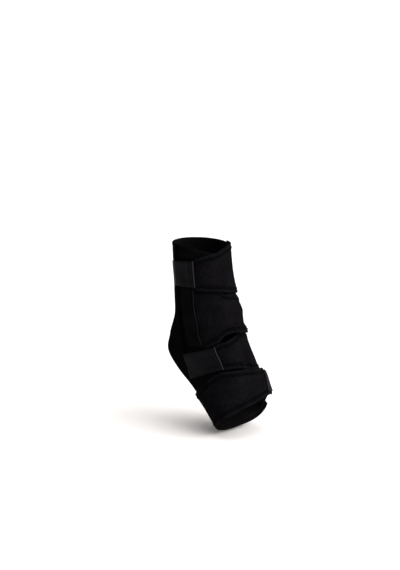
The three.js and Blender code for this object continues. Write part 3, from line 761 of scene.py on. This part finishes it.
# %% [markdown]
# The hook tabs are stiffer than the cloth they press on: flat, square-cornered and thin, with their far
# ends free of stitching. Two rows of stitches behind the near edge hold each to its flap.

# %% Hook tabs
TAB_STEP = 0.9
TAB_ROWS_MM = (1.9, 6.5)  # its stitch rows, from the near end


def upper_tab_height(rung, angle):
    """Under the upper tab: its flap's end, the pocket and the wrap."""
    return tab_height(ON_BODY + FLAP_WALL + LAYER_GAP, UPPER_ENDS[1], angle)


def ankle_tab_height(rung, angle):
    """Under the ankle tab: the same on the inner side."""
    on_flap = ankle_height(rung, np.maximum(angle, ANKLE_ENDS[0])) + FLAP_WALL + LAYER_GAP
    return tab_height(on_flap, -ANKLE_ENDS[0], -angle)


def foot_tab_height(rung, angle):
    """Under the foot tab: the foot band's end, then the wrap."""
    on_band = band_height(rung, angle) + BAND_WALL + LAYER_GAP
    return ON_BODY + (on_band - ON_BODY) * ramp(angle, BAND_ENDS[0] - 15, BAND_ENDS[0] - 2)


def slanted(rung, along):
    """The instep tab's far end leans further round for each rung down."""
    return along * INSTEP_TAB_SLANT * (rung - INSTEP_TAB_MIDDLE)


def tab_relief(around, down, edge, rung, angle):
    """A tab stays flat but for two crossed waves, a low ridge at its near end, and its stitch rows."""
    rows = sum(np.exp(-(((around - row) / 0.8) ** 2)) for row in TAB_ROWS_MM)
    slow = 0.16 * np.sin(around / 5.3 + 0.6) * np.sin(down / 9.1)
    return (slow + 0.35 * ramp(around, 3.4, 0.8) - 0.3 * rows) * ramp(edge, 0, 1.5)


TAB_ON = {"upper_hook_tab": upper_tab_height, "ankle_hook_tab": ankle_tab_height,
          "instep_hook_tab": flat_on(ON_BODY), "foot_hook_tab": foot_tab_height}
tabs = {
    node: strip(node.replace("_tab", "_tape"), *edges, TAB_ON[node], TAB_WALL, [TAPE, HOOKS], tab_relief,
                shift=slanted if node == "instep_hook_tab" else None, step=TAB_STEP,
                from_last=edges[0][0] < 0)
    for node, edges in TAB_EDGES.items()
}

# %% [markdown]
# The stitching is real thread here, not a picture of it. The hems are held by a zigzag, the pockets and
# tabs by plain lockstitch. Each stitch is a short arched bead of thread whose two ends dive into the
# cloth. All the stitches of a piece are worked out in one go: their ends along a line, and one small
# spindle mesh repeated between them. Real stitches are 2.5 to 3.5 mm long, and so are these.

# %% Stitches
STITCH_MM, THREAD_MM = 2.9, 0.45
ZIGZAG_PITCH = STITCH_MM * 0.62  # along the hem
RINGS, SIDES = 3, 5  # of a stitch's mesh
HEM_TRIM, TAB_TRIM = 9, 0.09  # how far seams stop short of an end: degrees, rungs


def spaced(rung, angle, pitch):
    """The line through the given rungs and angles, cut again at equal steps of its real length."""
    points = on_sleeve(rung, angle)
    length = np.append(0, np.cumsum(np.linalg.norm(np.diff(points, axis=0), axis=1)))
    marks = np.arange(pitch / 2, length[-1], pitch)
    return np.interp(marks, length, rung), np.interp(marks, length, angle)


def inset(rung, angle, rung_way, angle_way, distance):
    """The line moved over the sleeve by a distance in mm, down it by rung_way and round it by
    angle_way, each 1, 0 or -1."""
    step = 0.05
    down = np.linalg.norm(on_sleeve(rung + step, angle) - on_sleeve(rung - step, angle), axis=-1) / (2 * step)
    across = np.linalg.norm(on_sleeve(rung, angle + 1) - on_sleeve(rung, angle - 1), axis=-1) / 2
    return rung + rung_way * distance / down, angle + angle_way * distance / across


def spindles(starts, ends, out):
    """Vertices and triangles of one spindle for each pair of ends: rings of a circle's points whose
    radius and height above the line go with the sine of the way along, and a pole at either end."""
    way = np.linspace(0, 1, RINGS + 2)[1:-1]
    turn = np.arange(SIDES) * 2 * np.pi / SIDES
    along = ends - starts
    along /= np.linalg.norm(along, axis=1, keepdims=True)
    aside = np.cross(out, along)
    centre = starts[:, None] + (ends - starts)[:, None] * way[None, :, None]
    centre = centre + out[:, None] * (THREAD_MM * 0.8 * np.sin(np.pi * way))[None, :, None]
    swell = THREAD_MM * (0.6 + 0.4 * np.sin(np.pi * way))[None, :, None, None]
    circle = (aside[:, None, None] * np.cos(turn)[None, None, :, None]
              + out[:, None, None] * np.sin(turn)[None, None, :, None])
    rings = (centre[:, :, None] + swell * circle).reshape(len(starts), -1, 3)
    dive = THREAD_MM * 0.5 * out
    points = np.concatenate([rings, (starts - dive)[:, None], (ends - dive)[:, None]], 1)
    ring = np.arange(RINGS * SIDES).reshape(RINGS, SIDES)
    nxt = np.roll(ring, -1, axis=1)
    sides = np.concatenate([np.stack([ring[:-1], nxt[:-1], nxt[1:]], -1).reshape(-1, 3),
                            np.stack([ring[:-1], nxt[1:], ring[1:]], -1).reshape(-1, 3)])
    poles = RINGS * SIDES
    caps = np.concatenate([np.stack([np.full(SIDES, poles), nxt[0], ring[0]], -1),
                           np.stack([np.full(SIDES, poles + 1), ring[-1], nxt[-1]], -1)])
    one = np.concatenate([sides, caps])
    faces = one[None] + (np.arange(len(starts)) * points.shape[1])[:, None, None]
    return points.reshape(-1, 3), faces.reshape(-1, 3)


def sew(name, seams, material):
    """Joins the stitches of several seams into one piece. A seam is its stitches' start and end rungs,
    angles and heights above the sleeve."""
    points, faces, count = [], [], 0
    for start, end in seams:
        middle = (start + end) / 2
        vertices, triangles = spindles(off_sleeve(*start), off_sleeve(*end), outwards(*middle[:2]))
        points.append(vertices)
        faces.append(triangles + count)
        count += len(vertices)
    points, faces = np.concatenate(points), np.concatenate(faces)
    print(f"{name}: {sum(start.shape[1] for start, _ in seams)} stitches, {len(faces)} triangles")
    return make_mesh(name, points, faces, points, [material], np.zeros(len(faces)))


def zigzag(rung, angle, way, inner, thickness):
    """A zigzag along an edge: its ends alternate on two lines either side of the hem's groove. way is 1
    where the cloth is below the edge, and -1 where it is above."""
    rung, angle = spaced(rung, angle, ZIGZAG_PITCH)
    across = HEM_MM + np.where(np.arange(len(rung)) % 2 == 0, -0.5, 0.5) * ZIGZAG_MM
    rung, angle = inset(rung, angle, way, 0, across)
    line = np.stack([rung, angle, inner(rung, angle) + thickness + hem(across) + 0.1])
    return line[:, :-1], line[:, 1:]


def lockstitch(rung, angle, way, distance, inner, thickness, gap=0.28):
    """A plain seam beside an end, at a distance in mm: stitches with a gap after each, as a share of it."""
    rung, angle = inset(rung, angle, 0, way, distance)
    rung, angle = spaced(rung, angle, STITCH_MM)
    line = np.stack([rung, angle, inner(rung, angle) + thickness + 0.05])
    return line[:, :-1], line[:, :-1] + (line[:, 1:] - line[:, :-1]) * (1 - gap)


def hem_seams(ends, top, bottom, inner, thickness):
    """Zigzag seams along the top and bottom hems of a strip, stopping short of its ends."""
    angle = np.linspace(ends[0] + HEM_TRIM, ends[1] - HEM_TRIM, 400)
    return [zigzag(edge(angle), angle, way, inner, thickness) for edge, way in ((top, 1), (bottom, -1))]


threads = [sew(f"{node}_stitches", hem_seams(*shape), THREAD) for node, shape in FLAPS.items()]


# %% Seams of the pockets and tabs
def pocket_seams(side, line, way):
    """Lockstitch down a pocket's front line or back line, in the middle of its margin."""
    rung = np.linspace(POCKET_TOP + 0.1, POCKET_BOTTOM - 0.08, 300)
    return lockstitch(rung, side * line(rung), side * way, STAY_MARGIN / 2, flat_on(ON_BODY),
                      POCKET_WALL - SEAM_SUNK, gap=0.45)


def tab_seams(node):
    """Lockstitch down the near end of a tab, in two rows."""
    ends, top, bottom = TAB_EDGES[node]
    near, way = (ends[0], 1) if ends[0] > 0 else (ends[1], -1)
    rung = np.linspace(float(top(near)) + TAB_TRIM, float(bottom(near)) - TAB_TRIM, 200)
    return [lockstitch(rung, np.full_like(rung, near), way, distance, TAB_ON[node], TAB_WALL - 0.2)
            for distance in TAB_ROWS_MM]


for where, side in (("outer", 1), ("inner", -1)):
    threads.append(sew(f"{where}_pocket_front_stitches", [pocket_seams(side, POCKET_FRONT[side], 1)],
                       PALE_THREAD))
threads.append(sew("pocket_back_stitches", [pocket_seams(side, POCKET_BACK, -1) for side in (1, -1)],
                   DARK_THREAD))
threads += [sew(f"{node}_stitches", tab_seams(node), THREAD) for node in TAB_EDGES]

# %% [markdown]
# Each piece rides on the one body and replaces its plain node, which is hidden. Stitches ride along.


# %% Which nodes each piece replaces
def stands_for(piece, nodes):
    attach(piece, "root")
    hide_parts(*nodes)


stands_for(wrap, ["leg_panel", "heel_panel", "sole_panel"])
for node, piece in flaps.items():
    stands_for(piece, [node])
for node, piece in pockets.items():
    stands_for(piece, [node])
for node, piece in tabs.items():
    stands_for(piece, [node])
for piece in threads:
    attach(piece, "root")
print("pieces:", 1 + len(flaps) + len(pockets) + len(tabs) + len(threads))

# %% [markdown]
# The picture is taken from in front and to the outer side, a little above. The camera's direction, its
# distance and the scale at the ankle give its lens: a length of one millimetre at the ankle has to cover
# as many picture points as in the photograph. The ankle joint isn't in the picture's middle, so the
# camera steps sideways and up instead of turning.

# %% The camera
PICTURE = (400, 570)
AZIMUTH, ELEVATION = 48, 11
DISTANCE_MM, MM_PER_POINT = 1900, 1.30
ANKLE_AT = (203, 333)  # the origin in the picture, in points from the top left
SENSOR_MM = 36


def facing(azimuth, elevation):
    """The right, up and back axes of a thing that looks at the brace from those angles, in degrees."""
    a, e = np.radians(azimuth), np.radians(elevation)
    back = np.array([np.sin(a) * np.cos(e), -np.cos(a) * np.cos(e), np.sin(e)])
    right = np.array([np.cos(a), np.sin(a), 0.0])
    return right, np.cross(back, right), back


def placed(axes, at):
    """The matrix of a thing with those three axes, at a point in metres."""
    matrix = np.eye(4)
    matrix[:3, :3] = np.stack(axes, 1)
    matrix[:3, 3] = at
    return Matrix(matrix.tolist())


right, up, back = facing(AZIMUTH, ELEVATION)
aside, above = ANKLE_AT[0] - PICTURE[0] / 2, ANKLE_AT[1] - PICTURE[1] / 2
eye = back * DISTANCE_MM + (up * above - right * aside) * MM_PER_POINT
optics = bpy.data.cameras.new("camera")
optics.sensor_width = SENSOR_MM
optics.lens = DISTANCE_MM / MM_PER_POINT * SENSOR_MM / max(PICTURE)
optics.clip_start, optics.clip_end = 0.05, 50
camera = add_object("camera", optics)
camera.matrix_world = placed((right, up, back), eye * MM)
bpy.context.scene.camera = camera
print("lens, mm:", round(optics.lens, 1))

# %% [markdown]
# The floor is a pale sweep: flat under the brace and curving up far behind, so that no horizon shows.
# Black cloth is hard to light. A wide soft lamp from the toe side lights the fronts of the straps and
# leaves the heel dark, a weak one fills in nearer the camera, and one high behind whitens the floor.

# %% Floor, lamps and sky
FLOOR_MM = -116.0  # about 3 mm under the brace's lowest edge
SWEEP_RADIUS, SWEEP_REACH, SWEEP_WALL, SWEEP_WIDTH = 1500, 3500, 2500, 9000


def make_floor():
    """A profile carried along a line: flat, then a quarter circle, then upright, as one sheet that
    faces the camera."""
    turn = np.linspace(0, np.pi / 2, 24)
    reach = np.concatenate([[-SWEEP_REACH], SWEEP_REACH + SWEEP_RADIUS * np.sin(turn)])
    height = np.concatenate([[0], SWEEP_RADIUS * (1 - np.cos(turn))])
    reach, height = np.append(reach, reach[-1]), np.append(height, height[-1] + SWEEP_WALL)
    across = np.array([-SWEEP_WIDTH / 2, SWEEP_WIDTH / 2])[:, None]
    far = -back * [1, 1, 0] / np.hypot(*back[:2])
    points = far * reach[None, :, None] + right * across[..., None] + np.array([0, 0, 1]) * (
        FLOOR_MM + height)[None, :, None]
    index = np.arange(points[..., 0].size).reshape(points.shape[:2])
    faces = np.stack([index[:-1, :-1], index[1:, :-1], index[1:, 1:], index[:-1, 1:]], -1).reshape(-1, 4)
    return add_object("pale_floor", smooth_mesh("pale_floor", points.reshape(-1, 3), faces))


floor = make_floor()
floor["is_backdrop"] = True
paper = bpy.data.materials.new("matt_white_paper_sweep")
paper.use_nodes = True
finish(paper.node_tree.nodes["Principled BSDF"], Base_Color=linear("f5f2f0"), Roughness=0.9,
       Specular_IOR_Level=0.1)
floor.data.materials.append(paper)


def softbox(name, azimuth, elevation, spread, strength):
    """Even soft light from one side: a sun lamp whose disc is as wide as a softbox seen from the brace.
    Angles are in degrees and the strength in watts for a square metre that faces it."""
    light = bpy.data.lights.new(name, "SUN")
    light.energy, light.angle = strength, np.radians(spread)
    axes = facing(azimuth, elevation)
    add_object(name, light).matrix_world = placed(axes, axes[2])


softbox("key_softbox", 116, 28, 60, 3.0)
softbox("front_softbox", 80, 20, 50, 0.3)
softbox("back_softbox", 175, 66, 110, 3.2)
sky = bpy.data.worlds.new("white_studio")
sky.use_nodes = True
finish(sky.node_tree.nodes["Background"], Color=linear("ffffff"), Strength=0.1)
bpy.context.scene.world = sky
bpy.context.scene.view_settings.view_transform = "Standard"
print("lamps:", [lamp.name for lamp in bpy.data.lights])

# %% Sizes against the model, and the end
visual_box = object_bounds()
grown = [round((b - a) / MM, 1) for low, high in zip(cad_box, visual_box) for a, b in zip(low, high)]
print("visual box less CAD box, mm:", grown)
